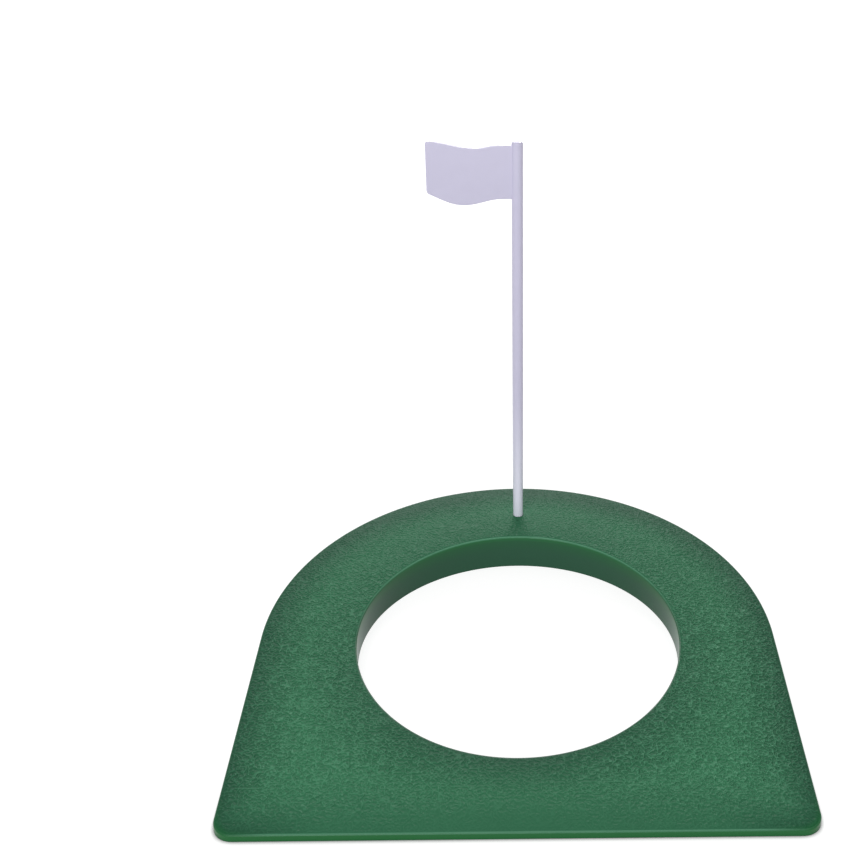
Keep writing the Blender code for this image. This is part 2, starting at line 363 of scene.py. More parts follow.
# %% Rows of the rim, the outer edge and the top between them
# rows of the grid in each stretch, in their order round the loop
ROWS = {
    "bore": 8,
    "rim": 8,
    "top": 56,
    "edge": 8,
    "outer_wall": 6,
    "foot": 4,
    "inner_face": 6,
    "roof": 18,
    "ring_wall": 6,
    "ring_foot": 2,
}

ones = np.ones_like(ray)
rim_turn = np.linspace(0, np.pi / 2, ROWS["rim"], endpoint=False)[:, None]
rim_reach = HOLE_RADIUS + RIM_ROUND * (1 - np.cos(rim_turn)) * ones
rim_height = plane_along(rim_reach, ray) - RIM_ROUND * (1 - np.sin(rim_turn))

foot_reach = ramp_outline(ray, 0.0)
edge_lean = DRAFT * (plane_along(foot_reach, ray) - EDGE_ROUND)
edge_turn = np.linspace(np.pi / 2, 0, ROWS["edge"], endpoint=False)[:, None]
edge_reach = ramp_outline(ray, edge_lean + EDGE_ROUND * (1 - np.cos(edge_turn)))
edge_height = plane_along(edge_reach, ray) - EDGE_ROUND * (1 - np.sin(edge_turn))

# the rows of the top crowd together at both ends: the mean of an even step and (1 - cos) / 2
even = np.linspace(0, 1, ROWS["top"], endpoint=False)[:, None]
crowded = 0.5 * even + 0.25 * (1 - np.cos(np.pi * even))
top_reach = (1 - crowded) * (HOLE_RADIUS + RIM_ROUND) + crowded * edge_reach[0]
print("top rows", top_reach.shape, "out to", round(float(top_reach.max()) / MM, 1), "mm")

# %% Straight stretches and the whole loop
WALL = 2.0 * MM
SKIN = 2.0 * MM
NOSE = 10.3 * MM
HOLLOW_CORNER = 4.0 * MM
RING_RADIUS = HOLE_RADIUS + WALL


def hollow_outline(angle, inset):
    """Outline of the hollow under the ramp, moved in by an inset."""
    half_width, front = FOOT_RADIUS - WALL - inset, FRONT_REACH - NOSE - inset
    return outline_reach(angle, half_width, front, HOLLOW_CORNER - inset)


def line(reach, height):
    """One line of the section, as a reach and a height on every ray."""
    return np.stack([reach * ones, height * ones])


def straight(name, start, end):
    """Rows of a stretch from one line towards the next: (1 - f) start + f end, f short of one."""
    f = np.linspace(0, 1, ROWS[name], endpoint=False)[:, None, None]
    return (1 - f) * start + f * end


wall_top = ramp_outline(ray, edge_lean)
hollow_foot = hollow_outline(ray, 0.0)
roof_out = hollow_outline(ray, DRAFT * (plane_along(hollow_foot, ray) - SKIN))
roof_in = RING_RADIUS + DRAFT * (plane_along(RING_RADIUS, ray) - SKIN)

hole_foot = line(HOLE_RADIUS, 0.0)
rim_start = line(HOLE_RADIUS, rim_height[0])
outer_top = line(wall_top, plane_along(wall_top, ray) - EDGE_ROUND)
outer_foot = line(foot_reach, 0.0)
inner_foot = line(hollow_foot, 0.0)
inner_top = line(roof_out, plane_along(roof_out, ray) - SKIN)
ring_top = line(roof_in, plane_along(roof_in, ray) - SKIN)
ring_low = line(RING_RADIUS, 0.0)
section = {
    "bore": straight("bore", hole_foot, rim_start),
    "rim": np.stack([rim_reach, rim_height], axis=1),
    "top": np.stack([top_reach, top_height(top_reach, ray)], axis=1),
    "edge": np.stack([edge_reach, edge_height], axis=1),
    "outer_wall": straight("outer_wall", outer_top, outer_foot),
    "foot": straight("foot", outer_foot, inner_foot),
    "inner_face": straight("inner_face", inner_foot, inner_top),
    "roof": straight("roof", inner_top, ring_top),
    "ring_wall": straight("ring_wall", ring_top, ring_low),
    "ring_foot": straight("ring_foot", ring_low, hole_foot),
}
reach, height = np.concatenate([section[name] for name in ROWS]).transpose(1, 0, 2)
ramp_grid = np.stack([reach * np.cos(ray), HOLE_Y + reach * np.sin(ray), height], axis=-1)
end_rows = np.cumsum(list(ROWS.values()))
block = {name: slice(end - ROWS[name], end) for name, end in zip(ROWS, end_rows)}
print("ramp grid", ramp_grid.shape)

# %% [markdown]
# ## Socket for the flagstick
# Behind the hole the top has a round socket that the stick drops into, and a boss under the
# skin gives it depth. A boolean would cut it, but would also leave long slivers in the
# smooth top. Instead a few quads of the grid are left out round the socket, and a patch of rings
# takes their place: the first ring is the edge of that square window, the next ones ease into
# circles, and the last ones go down the socket's wall to its floor. The boss does the same
# from the roof of the hollow.

# %% Rings from a square window to a round bore
STICK_BEHIND_RIM = 14.45 * MM
STICK_Y = HOLE_Y + HOLE_RADIUS + STICK_BEHIND_RIM
WINDOW_HALF = 6.2 * MM


def window(stretch):
    """First and last row and column of the quads of one stretch round the stick's axis."""
    lines = ramp_grid[block[stretch]]
    near_row = np.flatnonzero(np.abs(lines[:, STRAIGHT_BACK, 1] - STICK_Y) < WINDOW_HALF)
    near_column = np.flatnonzero((np.abs(lines[0, :, 0]) < WINDOW_HALF) & (lines[0, :, 1] > HOLE_Y))
    first, last = near_row[[0, -1]] + block[stretch].start
    return first, last, near_column[0], near_column[-1]


def window_loop(first, last, left, right):
    """Row and column of each vertex round a window, in the turning sense of its quads."""
    rows, columns = np.arange(first, last), np.arange(left, right)
    return (
        np.concatenate([np.full(len(columns), first), rows, np.full(len(columns), last), rows[::-1] + 1]),
        np.concatenate([columns, np.full(len(rows), right), columns[::-1] + 1, np.full(len(rows), left)]),
    )


def rings_inward(loop, circle_radius, surface, steps):
    """Rings that ease from a window's edge to a circle about the stick's axis, each point at
    (1 - f) edge + f circle, and lifted on to the surface that the window lies in."""
    turn = np.arctan2(loop[:, 1] - STICK_Y, loop[:, 0])
    circle = np.stack([circle_radius * np.cos(turn), STICK_Y + circle_radius * np.sin(turn)], axis=-1)
    f = np.linspace(0, 1, steps + 1)[1:, None, None]
    flat = (1 - f) * loop[None, :, :2] + f * circle
    return np.concatenate([flat, surface(flat[..., 0], flat[..., 1])[..., None]], axis=-1), turn


def rings_of_revolution(turn, radius, height):
    """Rings about the stick's axis, one for each radius and height of a turned profile."""
    radius = np.asarray(radius)[:, None] * np.ones_like(turn)
    height = np.broadcast_to(np.asarray(height).reshape(len(radius), -1), radius.shape)
    return np.stack([radius * np.cos(turn), STICK_Y + radius * np.sin(turn), height], axis=-1)


# %% Socket patch in the top
SOCKET_RADIUS = 1.98 * MM
SOCKET_FLOOR = 2.4 * MM
SOCKET_LIP = 0.12 * MM
SOCKET_EASE_STEPS, SOCKET_LIP_STEPS, SOCKET_WALL_STEPS = 8, 3, 6
FLOOR_RINGS = SOCKET_RADIUS * np.array([0.7, 0.35])


def top_surface(x, y):
    """The crowned top over a place on the floor, by its reach and angle from the hole's axis."""
    return top_height(np.hypot(x, y - HOLE_Y), np.arctan2(y - HOLE_Y, x))


socket_window = window("top")
socket_loop = window_loop(*socket_window)
socket_edge = ramp_grid[socket_loop]
eased, turn = rings_inward(socket_edge, SOCKET_RADIUS + SOCKET_LIP, top_surface, SOCKET_EASE_STEPS)
lip_turn = np.linspace(0, np.pi / 2, SOCKET_LIP_STEPS + 1)[1:]
lip_radius = SOCKET_RADIUS + SOCKET_LIP * (1 - np.sin(lip_turn))
lip_drop = SOCKET_LIP * (1 - np.cos(lip_turn))
lip = rings_of_revolution(turn, lip_radius, eased[-1, :, 2] - lip_drop[:, None])
down = np.linspace(1, 0, SOCKET_WALL_STEPS + 1)[1:, None]
wall_height = down * lip[-1, :, 2] + (1 - down) * SOCKET_FLOOR
wall = rings_of_revolution(turn, np.full(SOCKET_WALL_STEPS, SOCKET_RADIUS), wall_height)
bottom = rings_of_revolution(turn, FLOOR_RINGS, np.full_like(FLOOR_RINGS, SOCKET_FLOOR))
socket_rings = np.concatenate([eased, lip, wall, bottom])
print("socket rings", socket_rings.shape)

# %% Boss patch in the roof
BOSS_RADIUS = 3.98 * MM
BOSS_LOW = 0.6 * MM
# how much wider the draft makes the boss over its height of about 10 mm
BOSS_FLARE = DRAFT * 10.0 * MM
BOSS_EASE_STEPS, BOSS_WALL_STEPS = 5, 4
BOSS_END_RINGS = BOSS_RADIUS * np.array([0.95, 0.5])


def roof_surface(x, y):
    """The underside of the top skin over a place on the floor, which rises with y alone."""
    return plane_height(y) - SKIN


boss_window = window("roof")
boss_loop = window_loop(*boss_window)
boss_edge = ramp_grid[boss_loop]
eased, turn = rings_inward(boss_edge, BOSS_RADIUS + BOSS_FLARE, roof_surface, BOSS_EASE_STEPS)
down = np.linspace(1, 0, BOSS_WALL_STEPS + 1)[1:, None]
wall_height = down * eased[-1, :, 2] + (1 - down) * BOSS_LOW
wall = rings_of_revolution(turn, BOSS_RADIUS + BOSS_FLARE * down[:, 0], wall_height)
bottom = rings_of_revolution(turn, BOSS_END_RINGS, np.full_like(BOSS_END_RINGS, BOSS_LOW))
boss_rings = np.concatenate([eased, wall, bottom])
print("boss rings", boss_rings.shape)

# %% Faces of the grid and of its two patches
def grid_faces(index, close_rows, close_columns):
    """Quads of a grid: each vertex, the next in its row, and the two beside them in the next
    row. A closed direction starts again from its first line."""
    index = np.concatenate([index, index[:1]]) if close_rows else index
    index = np.concatenate([index, index[:, :1]], axis=1) if close_columns else index
    return np.stack([index[:-1, :-1], index[:-1, 1:], index[1:, 1:], index[1:, :-1]], axis=-1)


grid_shape = ramp_grid.shape[:2]
index = np.arange(reach.size).reshape(grid_shape)
kept = np.ones(grid_shape, dtype=bool)
points, quads, caps = [ramp_grid.reshape(-1, 3)], [], []
for (first, last, left, right), loop, rings in (
    (socket_window, socket_loop, socket_rings),
    (boss_window, boss_loop, boss_rings),
):
    kept[first:last, left:right] = False
    ring_index = sum(map(len, points)) + np.arange(rings[..., 0].size).reshape(rings.shape[:2])
    patch = np.concatenate([index[loop][None], ring_index])
    quads.append(grid_faces(patch, False, True).reshape(-1, 4))
    caps.append(ring_index[-1])
    points.append(rings.reshape(-1, 3))
quads.append(grid_faces(index, True, True)[kept])
points, quads = np.concatenate(points), np.concatenate(quads)
# the vertices inside the two windows fall out, so the rest are numbered again
used = np.unique(quads)
renumbered = np.zeros(len(points), dtype=int)
renumbered[used] = np.arange(len(used))
shell_faces = renumbered[quads].tolist() + [renumbered[cap].tolist() for cap in caps]
print(len(shell_faces), "faces on", len(used), "vertices")

# %% [markdown]
# ## What changes over the ramp's skin
# The skin isn't the same all over: some of the steel was etched and some was plain. On top of
# that, light and shade are painted into the colour: painted shade over the walls, beside the front
# of the hole and beside the outer edge, painted light on the open middle of the strip and through
# the thin rounds and the lip's face, and a painted highlight on the crests of the rim and the lip.
# A painted picture could hold that. Here each of these shares is a formula of the distances from the
# rim and from the edge and of the way that a ray points, so that it stays sharp at any size. They
# are stored on the vertices, where the material reads them.

# %% Distances and directions on the top
def near(distance, width):
    """One at a line, falling straight to zero at a width from it."""
    return 1 - rise(distance, 0, width)


def bell(distance, width):
    """A bell curve, one in the middle and 1/e at the width: e to minus the square of their ratio."""
    return np.exp(-((distance / width) ** 2))


from_rim = top_reach - HOLE_RADIUS - RIM_ROUND
from_edge = edge_reach[0] - top_reach
across, ahead = np.cos(ray), -np.sin(ray)
backward = np.clip(-ahead, 0, 1)
print("widest strip", round(float((from_rim + from_edge).max()) / MM, 1), "mm")

# %% Share of grain
GRAIN_MARGIN, GRAIN_FADE = 0.1 * MM, 0.4 * MM
LIP_START, LIP_FADE, LIP_GRAIN = 5.0 * MM, 19.0 * MM, 0.42
BACK_LOSS, BACK_SPREAD = 0.75, 0.7
MIDDLE_LOSS, MIDDLE_WIDTH = 0.50, 0.42
SIDE_GAIN = 0.12
CALM, CALM_WIDTH = 0.5, 12.0 * MM
# how far ahead a ray points, as minus the sine of its angle, where the calm starts and is full
CALM_AHEAD = (-0.3, 0.7)

# one on the top, fading out just short of its two edges
etched = rise(np.minimum(from_rim, from_edge), GRAIN_MARGIN, GRAIN_MARGIN + GRAIN_FADE)
# the etch is shallower towards the lip, most of all in its middle, and behind the hole, where the
# steel has worn; it is a touch deeper on the right than on the left
from_lip = HOLE_Y + top_reach * np.sin(ray) - FRONT_Y
lip_grain = LIP_GRAIN + (1 - LIP_GRAIN) * rise(from_lip, LIP_START, LIP_START + LIP_FADE)
front_middle = bell(across, MIDDLE_WIDTH) * (ahead > 0)
worn_steel = (1 - BACK_LOSS * backward**BACK_SPREAD) * (1 - MIDDLE_LOSS * front_middle)
right_gain = 1 + SIDE_GAIN * across
# and it is calmer beside the outer edge and the front of the hole
rim_calm = near(from_rim, CALM_WIDTH) * rise(ahead, *CALM_AHEAD)
calmed = 1 - CALM * np.maximum(near(from_edge, CALM_WIDTH), rim_calm)

grid_grain = np.zeros(grid_shape)
grid_grain[block["top"]] = etched * lip_grain * worn_steel * right_gain * calmed
socket_grain = np.zeros(socket_rings.shape[:2])
socket_grain[: SOCKET_EASE_STEPS - 1] = 1 - BACK_LOSS
boss_zeros = np.zeros(boss_rings[..., 0].size)
grain = np.concatenate([grid_grain.ravel(), socket_grain.ravel(), boss_zeros])
print("grain on the top, mean", round(float(grid_grain[block["top"]].mean()), 2))

# %% Painted shade and light on the green
# painted shade: the green is painted darker over the walls, most of all along the outer edge and
# along the front of the hole, and painted lighter on the open middle of the strip
SHADE_RIM_WIDTH, SHADE_EDGE_WIDTH, LIT_SPAN_WIDTH = 18.0 * MM, 16.0 * MM, 25.0 * MM
SHADE_POWER = 1.5
SHADE_BASE, SHADE_BY_RIM, SHADE_BY_EDGE, SHADE_BY_LIP = 0.25, 0.60, 0.70, 0.10
LIGHT_ON_SPAN, SHADE_BEHIND = 0.35, 0.22
SHADE_WALL, SHADE_BORE_BEHIND, SHADE_BOSS = 0.8, 0.2, 0.9
SHADE_ROUND, LIGHT_ON_ROUND_BEHIND = 1.0, 0.6
# how far ahead a ray points where each effect starts and is full
FRONT_AHEAD, MID_LIP_AHEAD = (-0.35, 1.0), (0.71, 0.81)


def painted_shade_of_green(from_rim, from_edge, angle):
    """Share of painted shade on the top: a base, more beside the rim at the front and beside the outer
    edge away from the middle of the lip, less on the open span, where light is painted, and more behind the
    hole."""
    front_share = rise(-np.sin(angle), *FRONT_AHEAD)
    mid_share = rise(-np.sin(angle), *MID_LIP_AHEAD)
    by_edge = SHADE_BY_EDGE + (SHADE_BY_LIP - SHADE_BY_EDGE) * mid_share
    beside_rim = SHADE_BY_RIM * front_share * near(from_rim, SHADE_RIM_WIDTH) ** SHADE_POWER
    beside_edge = by_edge * near(from_edge, SHADE_EDGE_WIDTH) ** SHADE_POWER
    lit_span = rise(np.minimum(from_rim, from_edge), 0, LIT_SPAN_WIDTH) ** 2
    behind = SHADE_BEHIND * np.clip(np.sin(angle), 0, 1)
    return SHADE_BASE + beside_rim + beside_edge - LIGHT_ON_SPAN * lit_span + behind


# painted shade on the walls, the bore and the underside, darker on the bore's back wall; painted light on
# the back of the rim
grid_shade = np.full(grid_shape, SHADE_WALL)
grid_shade[block["bore"]] = SHADE_WALL + SHADE_BORE_BEHIND * backward
grid_shade[block["rim"]] = SHADE_ROUND - LIGHT_ON_ROUND_BEHIND * backward
grid_shade[block["top"]] = painted_shade_of_green(from_rim, from_edge, ray)
socket_x, socket_y = socket_rings[..., 0], socket_rings[..., 1] - HOLE_Y
socket_angle, socket_reach = np.arctan2(socket_y, socket_x), np.hypot(socket_x, socket_y)
socket_from_edge = ramp_outline(socket_angle, EDGE_ROUND) - socket_reach
socket_shade = painted_shade_of_green(socket_reach - HOLE_RADIUS - RIM_ROUND, socket_from_edge, socket_angle)
painted_shade = np.concatenate([grid_shade.ravel(), socket_shade.ravel(), boss_zeros + SHADE_BOSS])
print("deep green on the top, mean", round(float(grid_shade[block["top"]].mean()), 2))

# %% Painted light through thin plastic and painted highlights on the crests
# painted light: where light would come through thin plastic, on the wall side of both rounds, beside
# the front corners and on the lip's face, the green is painted purer; and the crest of the rim and
# of the lip gets a painted highlight, a hair paler
BORE_THROUGH_LIGHT, BORE_THROUGH_LIGHT_SIDES, BORE_THROUGH_LIGHT_START = 0.35, 0.45, 0.55
RIM_THROUGH_LIGHT, RIM_THROUGH_LIGHT_BEHIND = 0.60, 0.15
WALL_THROUGH_LIGHT, WALL_THROUGH_LIGHT_FRONT = 0.5, 0.5
CORNER_THROUGH_LIGHT, CORNER_GLOW = 0.6, 1.3 * MM
HIGHLIGHT_WIDTH, LIP_HIGHLIGHT = 0.20 * MM, 0.8
# how far ahead a ray points where the front wall and the lip's crest start and are full
WALL_AHEAD, LIP_AHEAD = (0.62, 0.67), (0.70, 0.76)
# and at the front corners, with the width of their band
CORNER_AHEAD, CORNER_BAND = 0.69, 0.04

bore_share = np.linspace(0, 1, ROWS["bore"], endpoint=False)[:, None]
rim_share, edge_share = rim_turn / (np.pi / 2), 1 - edge_turn / (np.pi / 2)
wall_through_light = WALL_THROUGH_LIGHT + WALL_THROUGH_LIGHT_FRONT * rise(ahead, *WALL_AHEAD)
corner_through_light = CORNER_THROUGH_LIGHT * bell(ahead - CORNER_AHEAD, CORNER_BAND)
grid_through_light = np.zeros(grid_shape)
bore_through_light = BORE_THROUGH_LIGHT + BORE_THROUGH_LIGHT_SIDES * np.abs(across)
grid_through_light[block["bore"]] = bore_through_light * rise(bore_share, BORE_THROUGH_LIGHT_START, 1)
grid_through_light[block["rim"]] = (1 - rim_share) * (RIM_THROUGH_LIGHT + RIM_THROUGH_LIGHT_BEHIND * backward)
grid_through_light[block["top"]] = corner_through_light * bell(from_edge, CORNER_GLOW)
grid_through_light[block["edge"]] = corner_through_light + (1 - corner_through_light) * edge_share * wall_through_light
grid_through_light[block["outer_wall"]] = wall_through_light

# painted highlight on the back of the rim and on the crest of the lip
lip_crest = LIP_HIGHLIGHT * rise(ahead, *LIP_AHEAD)
grid_crest = np.zeros(grid_shape)
grid_crest[block["rim"]] = rim_share * backward
grid_crest[block["top"]] = bell(from_rim, HIGHLIGHT_WIDTH) * backward + bell(from_edge, HIGHLIGHT_WIDTH) * lip_crest
grid_crest[block["edge"]] = (1 - edge_share) * lip_crest
patch_zeros = np.zeros(len(points) - reach.size)
painted_through_light = np.concatenate([grid_through_light.ravel(), patch_zeros])
crest = np.concatenate([grid_crest.ravel(), patch_zeros])
print("thin at", int((painted_through_light > 0).sum()), "vertices, crest at", int((crest > 0).sum()))

# %% Make the ramp's shell
SHARP = np.radians(40)


def new_piece(name, points, faces, values=None):
    """Make a mesh object at the origin with smooth faces, turned right side out: the sum of
    the signed volumes under its triangles is positive when the faces look outward."""
    mesh = bpy.data.meshes.new(name)
    mesh.from_pydata(points.tolist(), [], faces)
    mesh.polygons.foreach_set("use_smooth", np.ones(len(mesh.polygons), dtype=bool))
    mesh.calc_loop_triangles()
    corners = np.empty(len(mesh.loop_triangles) * 3, dtype=np.int32)
    mesh.loop_triangles.foreach_get("vertices", corners)
    a, b, c = points[corners.reshape(-1, 3).T]
    volume = np.einsum("ij,ij->i", a, np.cross(b, c)).sum() / 6
    if volume < 0:
        mesh.flip_normals()
    for key, column in (values or {}).items():
        mesh.attributes.new(key, "FLOAT", "POINT").data.foreach_set("value", column.astype(np.float32))
    mesh.validate()
    mesh.set_sharp_from_angle(angle=SHARP)
    piece = bpy.data.objects.new(name, mesh)
    scene.collection.objects.link(piece)
    triangles = len(mesh.loop_triangles)
    print(f"{name}: {len(points)} vertices, {triangles} triangles, {abs(volume) / MM**3:.0f} mm3")
    return piece


skin_values = {"grain": grain[used], "painted_shade": painted_shade[used], "painted_through_light": painted_through_light[used], "crest": crest[used]}
ramp_shell = new_piece("ramp_shell", points[used], shell_faces, skin_values)

# %% [markdown]
# ## Ribs under the top
# Eight thin ribs tie the ring wall to the outer wall, so that the skin doesn't sag under a foot.
# They stop just short of the floor and their free edges are full rounds, as a cutter leaves
# them in the mould. Each is a U-shaped section carried along its ray, with its ends and top
# sunk into the walls and the skin. The rib behind the hole is broken by the socket's boss.

# %% Carry the U section along each ray
RIB_COUNT, RIB_STEPS, RIB_ROUND_POINTS = 8, 12, 9
RIB_HALF = 0.70 * MM
RIB_FREE_HALF = 0.55 * MM
RIB_LOW = 0.6 * MM
WALL_SUNK, SKIN_SUNK = 0.8 * MM, 0.4 * MM
# the two halves of the broken rib end inside the boss, at this distance from its axis
RIB_FROM_STICK = 3.0 * MM

round_turn = np.linspace(np.pi, 2 * np.pi, RIB_ROUND_POINTS)
u_across = np.concatenate([[-RIB_HALF], RIB_FREE_HALF * np.cos(round_turn), [RIB_HALF]])
u_up = np.concatenate([[0], RIB_FREE_HALF * (1 + np.sin(round_turn)), [0]])
on_roof = np.concatenate([[1], np.zeros(RIB_ROUND_POINTS), [1]])


def rib_grid(angle, start, end):
    """The U section at even steps along a ray: its round end hangs at the ribs' free height and
    its two tops follow the underside of the skin, a little inside it."""
    along = np.linspace(start, end, RIB_STEPS)[:, None]
    x = along * np.cos(angle) - u_across * np.sin(angle)
    y = HOLE_Y + along * np.sin(angle) + u_across * np.cos(angle)
    top = plane_along(along, angle) - SKIN + SKIN_SUNK
    return np.stack([x, y, on_roof * top + (1 - on_roof) * (RIB_LOW + u_up)], axis=-1)


def capped_faces(index):
    """Quads of a grid that closes round its columns, and one face over each of its open ends."""
    ends = [index[0][::-1].tolist(), index[-1].tolist()]
    return grid_faces(index, False, True).reshape(-1, 4).tolist() + ends


ring_end = RING_RADIUS - WALL_SUNK
boss_reach = STICK_Y - HOLE_Y
spans = []
for angle in np.pi / 2 + np.arange(RIB_COUNT) * 2 * np.pi / RIB_COUNT:
    wall_end = float(hollow_outline(angle, 0.0)) + WALL_SUNK
    if np.isclose(angle, np.pi / 2):
        spans.append((angle, ring_end, boss_reach - RIB_FROM_STICK))
        spans.append((angle, boss_reach + RIB_FROM_STICK, wall_end))
    else:
        spans.append((angle, ring_end, wall_end))
grids = np.stack([rib_grid(*span) for span in spans])
rib_faces = []
for index in np.arange(grids[..., 0].size).reshape(grids.shape[:3]):
    rib_faces += capped_faces(index)
# the ribs get the same painted shade as the walls
rib_shade = np.full(grids[..., 0].size, SHADE_WALL)
underside_ribs = new_piece("underside_ribs", grids.reshape(-1, 3), rib_faces, {"painted_shade": rib_shade})

# %% [markdown]
# ## Flagstick
# The stick and its flag are one moulding. The pole is a turned profile: a chamfered peg, a long
# slight taper that holds in the socket, a straight pole and a rounded top. The mould opens
# front to back, so a hair of a parting line runs down both sides. The flag is a flat
# panel with waved upper and lower edges; its section is a rounded strip, carried outwards
# while its two ends follow the waves. A boolean union then makes the two into one closed skin.

# %% Pole as a profile of revolution
STICK_TOP = 158.1 * MM
PEG_END = 2.7 * MM
POLE_HALF, PEG_HALF = 1.9 * MM, 1.8 * MM
TAPER = 40.0 * MM
PEG_CHAMFER = 0.4 * MM
POLE_ROUND = 0.8 * MM
PEG_CAP, POLE_CAP = 0.4 * PEG_HALF, 0.3 * POLE_HALF
PARTING_HEIGHT, PARTING_HALF = 0.03 * MM, 0.12 * MM
# the parting line runs where the radius is over this, and so not across the two ends
PARTING_FROM = 0.7 * PEG_HALF
TAPER_POINTS, POLE_POINTS, TOP_POINTS, POLE_STEPS = 9, 13, 9, 80


def turned_pole(radius, height):
    """Each profile point swept round the axis, with a small bell-shaped bump of the radius on
    the two sides where the halves of the mould met."""
    turn = np.linspace(0, 2 * np.pi, POLE_STEPS, endpoint=False)
    radius, height = radius[:, None] * np.ones_like(turn), height[:, None] * np.ones_like(turn)
    ridge = PARTING_HEIGHT * bell(radius * np.abs(np.sin(turn)), PARTING_HALF)
    swept = radius + ridge * (radius > PARTING_FROM)
    return np.stack([swept * np.cos(turn), STICK_Y + swept * np.sin(turn), height], axis=-1)


taper_end = PEG_END + TAPER
tapered = np.linspace(PEG_END + PEG_CHAMFER, taper_end, TAPER_POINTS)
parallel = np.linspace(taper_end, STICK_TOP - POLE_ROUND, POLE_POINTS)[1:-1]
straight_z = np.concatenate([tapered, parallel])
straight_r = PEG_HALF + rise(straight_z, PEG_END, taper_end) * (POLE_HALF - PEG_HALF)
top_turn = np.linspace(0, np.pi / 2, TOP_POINTS)
top_r = POLE_HALF - POLE_ROUND * (1 - np.cos(top_turn))
top_z = STICK_TOP - POLE_ROUND * (1 - np.sin(top_turn))
profile_r = np.concatenate([[PEG_CAP, PEG_HALF - PEG_CHAMFER], straight_r, top_r, [POLE_CAP]])
profile_z = np.concatenate([[PEG_END, PEG_END], straight_z, top_z, [STICK_TOP]])
pole_grid = turned_pole(profile_r, profile_z)
index = np.arange(pole_grid[..., 0].size).reshape(pole_grid.shape[:2])
flagstick_piece = new_piece("flagstick_moulding", pole_grid.reshape(-1, 3), capped_faces(index))

# %% Flag panel with waved edges
FLAG_START = 0.4 * MM
FLAG_REACH = 30.5 * MM
FLAG_HALF = 0.8 * MM
FLAG_EDGE = 0.35 * MM
FLAG_CORNER = 1.0 * MM
FLAG_POINTS, FLAG_END_STEPS, FLAG_EDGE_POINTS = 60, 14, 6
# reach from the pole's axis and drop below the top of the pole, in mm
UPPER_WAVE = np.array([(6.0, 1.3), (14.2, 2.3), (30.5, 0.0)]) * MM
LOWER_WAVE = np.array([(5.0, 19.4), (18.0, 21.6), (37.0, 16.0)]) * MM


def waved_drop(out, stations):
    """Drop of a waved edge: from each crest or trough to the next it swings on half a cosine,
    so that it is level at every station."""
    which = np.clip(np.searchsorted(stations[:, 0], out) - 1, 0, len(stations) - 2)
    (start, start_drop), (end, end_drop) = stations[which].T, stations[which + 1].T
    return start_drop + (end_drop - start_drop) * (1 - np.cos(np.pi * rise(out, start, end))) / 2


def quarter_fall(out, radius):
    """How much a quarter round of that radius has fallen at a reach near the free end."""
    return radius * (1 - np.sqrt(1 - rise(out, FLAG_REACH - radius, FLAG_REACH) ** 2))


end_turn = np.linspace(0, np.pi / 2, FLAG_END_STEPS + 1)[1:]
plain_out = np.linspace(FLAG_START, FLAG_REACH - FLAG_CORNER, FLAG_POINTS)
out = np.concatenate([plain_out, FLAG_REACH - FLAG_CORNER * (1 - np.sin(end_turn))])[:, None]
upper = STICK_TOP - waved_drop(out[:, 0], UPPER_WAVE)[:, None] - quarter_fall(out, FLAG_CORNER)
lower = STICK_TOP - waved_drop(out[:, 0], LOWER_WAVE)[:, None] + quarter_fall(out, FLAG_CORNER)
half = FLAG_HALF - quarter_fall(out, FLAG_EDGE)
edge = np.minimum(FLAG_EDGE, half)
# the strip's section, once round: four quarter rounds between two flat faces
quarter = np.linspace(0, np.pi / 2, FLAG_EDGE_POINTS)
strip_turn = np.concatenate([quarter + corner * np.pi / 2 for corner in range(4)])
sign_y, sign_z = np.repeat([[1, -1, -1, 1], [1, 1, -1, -1]], FLAG_EDGE_POINTS, axis=1)
panel_y = STICK_Y + sign_y * (half - edge) + np.cos(strip_turn) * edge
panel_z = np.where(sign_z > 0, upper, lower) - sign_z * edge + np.sin(strip_turn) * edge
flag_grid = np.stack([-out * np.ones_like(strip_turn), panel_y, panel_z], axis=-1)
index = np.arange(flag_grid[..., 0].size).reshape(flag_grid.shape[:2])
flag_piece = new_piece("flag_panel", flag_grid.reshape(-1, 3), capped_faces(index))

# %% Join flag and pole
join = flagstick_piece.modifiers.new("flag joins pole", "BOOLEAN")
join.operation, join.solver, join.object = "UNION", "EXACT", flag_piece
made = flagstick_piece.evaluated_get(bpy.context.evaluated_depsgraph_get())
joined = bpy.data.meshes.new_from_object(made)
flagstick_piece.modifiers.clear()
flagstick_piece.data = joined
bpy.data.objects.remove(flag_piece)
joined.polygons.foreach_set("use_smooth", np.ones(len(joined.polygons), dtype=bool))
joined.set_sharp_from_angle(angle=SHARP)
print("flagstick:", len(joined.vertices), "vertices")

# %% [markdown]
# ## Green polypropylene from a grained tool
# The ramp is dyed polypropylene. The top was moulded against steel that had been etched with a
# pebbled leather grain, so it scatters light in small soft glints; the rim, the edges, the
# walls and the hole came off plain steel and are smoother. One material does both: the grain is a
# bump of worn cells with wrinkles across them, and the share of grain stored on the vertices
# turns it off where the steel was plain. A real etch is finer than a point of the picture, so
# the cells are drawn coarser and deeper than life, to show at this distance.

# %% Grain as a bump
GRAIN_DEPTH = 0.34 * MM
GRAIN_CELL = 1.4 * MM
# the walls of the cells wander by up to half of the first size, over about the second
WANDER, WANDER_LENGTH = 1.6 * GRAIN_CELL, 2.0 * GRAIN_CELL
# how far from its wall, as a share of its size, a pebble goes on rising
PEBBLE_ROUND = 0.50
# wrinkles of this size follow the middle level of a noise, and fall away as it leaves that level
WRINKLE, MIDDLE_LEVEL, WRINKLE_FALL = 1.3 * MM, 0.5, 0.34
WRINKLE_WEIGHT = 1.2

